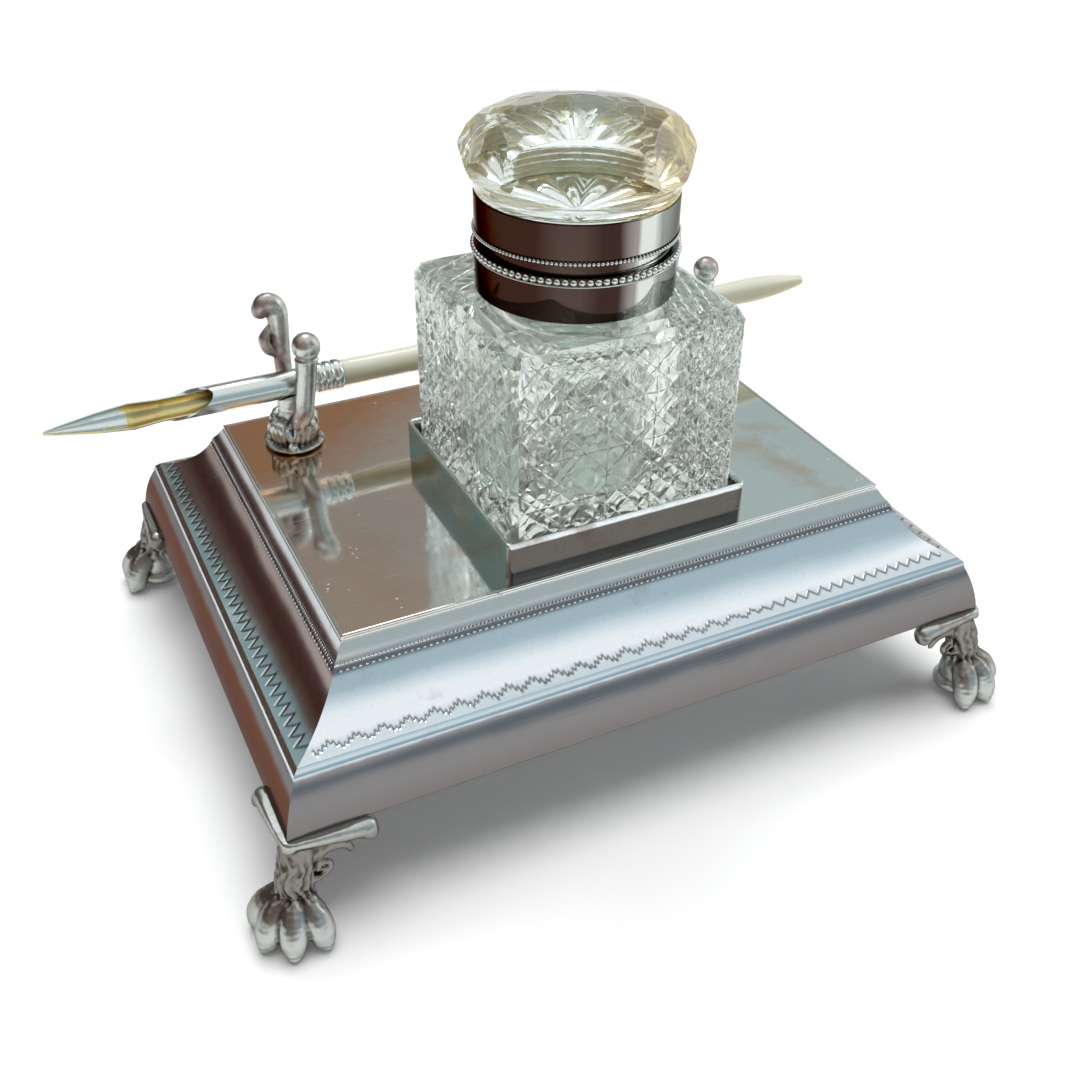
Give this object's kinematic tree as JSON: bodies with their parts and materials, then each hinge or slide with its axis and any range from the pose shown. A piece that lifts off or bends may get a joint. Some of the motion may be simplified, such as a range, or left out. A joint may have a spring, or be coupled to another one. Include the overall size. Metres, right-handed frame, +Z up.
{
  "type": "desk inkstand",
  "caption": "Footed silver-plated inkstand with a moulded stand, a square cut-glass well with a hinged glass lid, and a pearl-handled dip pen lying across cast rests.",
  "frame": {"origin": "on the desk, at the middle of the whole object's footprint, pen included; the stand's own middle lies at x = +5.8 mm", "axes": "+X along the stand and the pen, towards the pen's handle end; +Y from the front to the back, where the pen lies; +Z up"},
  "size_m": [0.218, 0.1624, 0.1507],
  "materials": {
    "silver_plate": "polished silver plate, tarnished in the hollows",
    "clear_glass": "cut and polished clear glass with a faint green cast",
    "gilt": "gilded inside, worn to silver at the point",
    "pearl": "polished mother-of-pearl",
    "cement": "matt setting plaster",
    "fixings": "plain steel"
  },
  "bodies": {
    "stand": {"top_plate": "silver_plate", "front_moulding": "silver_plate", "back_moulding": "silver_plate", "left_moulding": "silver_plate", "right_moulding": "silver_plate", "corner_gussets": "fixings", "foot_front_left": "silver_plate", "foot_front_right": "silver_plate", "foot_back_left": "silver_plate", "foot_back_right": "silver_plate", "foot_washers": "fixings", "foot_nuts": "fixings", "gallery_frame": "silver_plate", "pen_rest_left": "silver_plate", "pen_rest_right": "silver_plate", "rest_washers": "fixings", "rest_nuts": "fixings"},
    "well": {"glass_bottle": "clear_glass", "neck_cement": "cement", "neck_collar": "silver_plate", "collar_bead_ring": "silver_plate", "collar_hinge_leaf": "silver_plate", "hinge_pin": "fixings"},
    "lid": {"lid_band": "silver_plate", "lid_bead_ring": "silver_plate", "lid_cement": "cement", "lid_glass": "clear_glass", "lid_lining": "silver_plate", "lid_hinge_leaf": "silver_plate"},
    "pen": {"nib": "gilt", "ferrule": "silver_plate", "ferrule_ring": "silver_plate", "handle": "pearl"}
  },
  "joints": [
    {"name": "well_lift", "type": "slide", "parent": "stand", "child": "well", "axis": [0, 0, 1], "range_m": [0, 0.06]},
    {"name": "lid_hinge", "type": "hinge", "parent": "well", "child": "lid", "pos_m": [0.0065, 0.0093, 0.123], "axis": [-1, 0, 0], "range_deg": [0, 105]},
    {"name": "pen_lift", "type": "slide", "parent": "stand", "child": "pen", "axis": [0, 0, 1], "range_m": [0, 0.03]}
  ]
}
